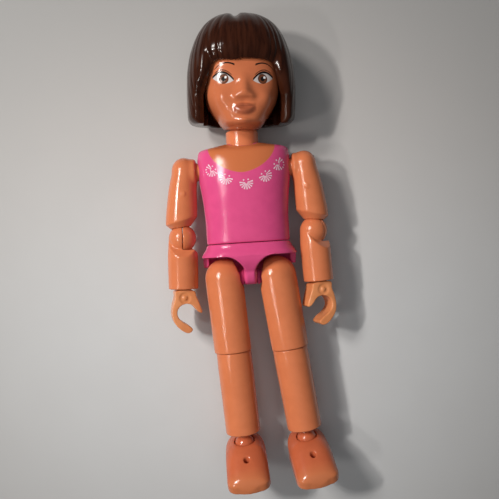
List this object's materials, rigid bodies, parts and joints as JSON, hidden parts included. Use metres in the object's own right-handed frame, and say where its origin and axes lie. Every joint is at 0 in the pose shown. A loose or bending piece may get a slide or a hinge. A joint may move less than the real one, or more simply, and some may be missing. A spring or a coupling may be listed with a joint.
{
  "type": "articulated plastic doll figure",
  "caption": "Small jointed doll of moulded plastic in a pink swimsuit, with a brown moulded bob, clip hands and plain feet, lying on its back with every joint free to pose.",
  "frame": {"origin": "on the surface the doll lies on, under the middle of its bounding box", "axes": "+Z out of the face, +Y towards the crown of the head, +X towards the doll's own left side"},
  "size_m": [0.0354, 0.0944, 0.0179],
  "materials": {
    "skin": "glossy moulded brown-orange plastic",
    "hand_skin": "softer, slightly yellower moulded plastic",
    "foot_skin": "redder moulded plastic",
    "suit": "glossy pink moulded plastic with a printed neckline",
    "hair": "high-gloss dark brown moulded plastic",
    "inner_white": "plain hinge pins"
  },
  "bodies": {
    "torso": {"torso_front": "suit", "torso_back": "suit"},
    "neck": {"neck_post": "skin"},
    "head": {"head": "skin", "hair": "hair"},
    "pelvis": {"pelvis": "suit", "waist_peg": "suit"},
    "left_upper_arm": {"left_upper_arm": "skin"},
    "left_elbow": {"left_elbow_knuckle": "skin", "left_elbow_pin": "inner_white"},
    "left_forearm": {"left_forearm": "skin"},
    "left_hand": {"left_hand": "hand_skin"},
    "left_hip": {"left_hip_stud": "suit"},
    "left_thigh": {"left_thigh": "skin", "left_knee_pin": "inner_white"},
    "left_shin": {"left_shin": "skin"},
    "left_ankle": {"left_ankle_peg": "foot_skin"},
    "left_foot": {"left_foot": "foot_skin"},
    "right_upper_arm": {"right_upper_arm": "skin"},
    "right_elbow": {"right_elbow_knuckle": "skin", "right_elbow_pin": "inner_white"},
    "right_forearm": {"right_forearm": "skin"},
    "right_hand": {"right_hand": "hand_skin"},
    "right_hip": {"right_hip_stud": "suit"},
    "right_thigh": {"right_thigh": "skin", "right_knee_pin": "inner_white"},
    "right_shin": {"right_shin": "skin"},
    "right_ankle": {"right_ankle_peg": "foot_skin"},
    "right_foot": {"right_foot": "foot_skin"}
  },
  "joints": [
    {"name": "neck_turn", "type": "hinge", "parent": "torso", "child": "neck", "pos_m": [-0.00008, 0.02144, 0.00707], "axis": [0, 1, 0], "continuous": true},
    {"name": "head_nod", "type": "hinge", "parent": "neck", "child": "head", "pos_m": [-0.00008, 0.02634, 0.00707], "axis": [0.9955, -0.0365, -0.0872], "range_deg": [-12, 5]},
    {"name": "waist_turn", "type": "hinge", "parent": "torso", "child": "pelvis", "pos_m": [-0.00008, 0.00144, 0.00707], "axis": [0, 1, 0], "range_deg": [-45, 45]},
    {"name": "left_shoulder_swing", "type": "hinge", "parent": "torso", "child": "left_upper_arm", "pos_m": [0.01282, 0.01644, 0.00707], "axis": [1, 0, 0], "range_deg": [-110, 75]},
    {"name": "left_elbow_turn", "type": "hinge", "parent": "left_upper_arm", "child": "left_elbow", "pos_m": [0.01335, 0.00315, 0.00707], "axis": [-0.0401, 0.9992, 0], "continuous": true},
    {"name": "left_elbow_bend", "type": "hinge", "parent": "left_elbow", "child": "left_forearm", "pos_m": [0.01335, 0.00315, 0.00707], "axis": [-0.6941, -0.0279, 0.7193], "range_deg": [0, 85]},
    {"name": "left_wrist_turn", "type": "hinge", "parent": "left_forearm", "child": "left_hand", "pos_m": [0.01376, -0.00714, 0.00707], "axis": [-0.0401, 0.9992, 0], "continuous": true},
    {"name": "left_hip_swing", "type": "hinge", "parent": "pelvis", "child": "left_hip", "pos_m": [-0.00008, -0.00551, 0.00707], "axis": [-1, 0, 0], "range_deg": [-25, 90]},
    {"name": "left_hip_splay", "type": "hinge", "parent": "left_hip", "child": "left_thigh", "pos_m": [0.00517, -0.00551, 0.00707], "axis": [0, 0, 1], "range_deg": [-6, 1]},
    {"name": "left_knee_bend", "type": "hinge", "parent": "left_thigh", "child": "left_shin", "pos_m": [0.00678, -0.01861, 0.00707], "axis": [0.9925, 0.1219, 0], "range_deg": [0, 90]},
    {"name": "left_ankle_turn", "type": "hinge", "parent": "left_shin", "child": "left_ankle", "pos_m": [0.00931, -0.03926, 0.00707], "axis": [-0.1219, 0.9925, 0], "range_deg": [-45, 45]},
    {"name": "left_foot_pitch", "type": "hinge", "parent": "left_ankle", "child": "left_foot", "pos_m": [0.00931, -0.03926, 0.00707], "axis": [0.9871, 0.1212, -0.1045], "range_deg": [-25, 10]},
    {"name": "right_shoulder_swing", "type": "hinge", "parent": "torso", "child": "right_upper_arm", "pos_m": [-0.01298, 0.01644, 0.00707], "axis": [1, 0, 0], "range_deg": [-110, 75]},
    {"name": "right_elbow_turn", "type": "hinge", "parent": "right_upper_arm", "child": "right_elbow", "pos_m": [-0.01352, 0.00315, 0.00707], "axis": [0.0401, 0.9992, 0], "continuous": true},
    {"name": "right_elbow_bend", "type": "hinge", "parent": "right_elbow", "child": "right_forearm", "pos_m": [-0.01352, 0.00315, 0.00707], "axis": [-0.9895, 0.0397, 0.1392], "range_deg": [0, 85]},
    {"name": "right_wrist_turn", "type": "hinge", "parent": "right_forearm", "child": "right_hand", "pos_m": [-0.01393, -0.00714, 0.00707], "axis": [0.0401, 0.9992, 0], "continuous": true},
    {"name": "right_hip_swing", "type": "hinge", "parent": "pelvis", "child": "right_hip", "pos_m": [-0.00008, -0.00551, 0.00707], "axis": [-1, 0, 0], "range_deg": [-25, 90]},
    {"name": "right_hip_splay", "type": "hinge", "parent": "right_hip", "child": "right_thigh", "pos_m": [-0.00533, -0.00551, 0.00707], "axis": [0, 0, 1], "range_deg": [-12, 1.5]},
    {"name": "right_knee_bend", "type": "hinge", "parent": "right_thigh", "child": "right_shin", "pos_m": [-0.0046, -0.01869, 0.00707], "axis": [0.9984, 0.0558, 0], "range_deg": [0, 90]},
    {"name": "right_ankle_turn", "type": "hinge", "parent": "right_shin", "child": "right_ankle", "pos_m": [-0.00343, -0.03946, 0.00707], "axis": [-0.0558, 0.9984, 0], "range_deg": [-45, 45]},
    {"name": "right_foot_pitch", "type": "hinge", "parent": "right_ankle", "child": "right_foot", "pos_m": [-0.00343, -0.03946, 0.00707], "axis": [0.9978, 0.0558, -0.0349], "range_deg": [-25, 10]}
  ]
}
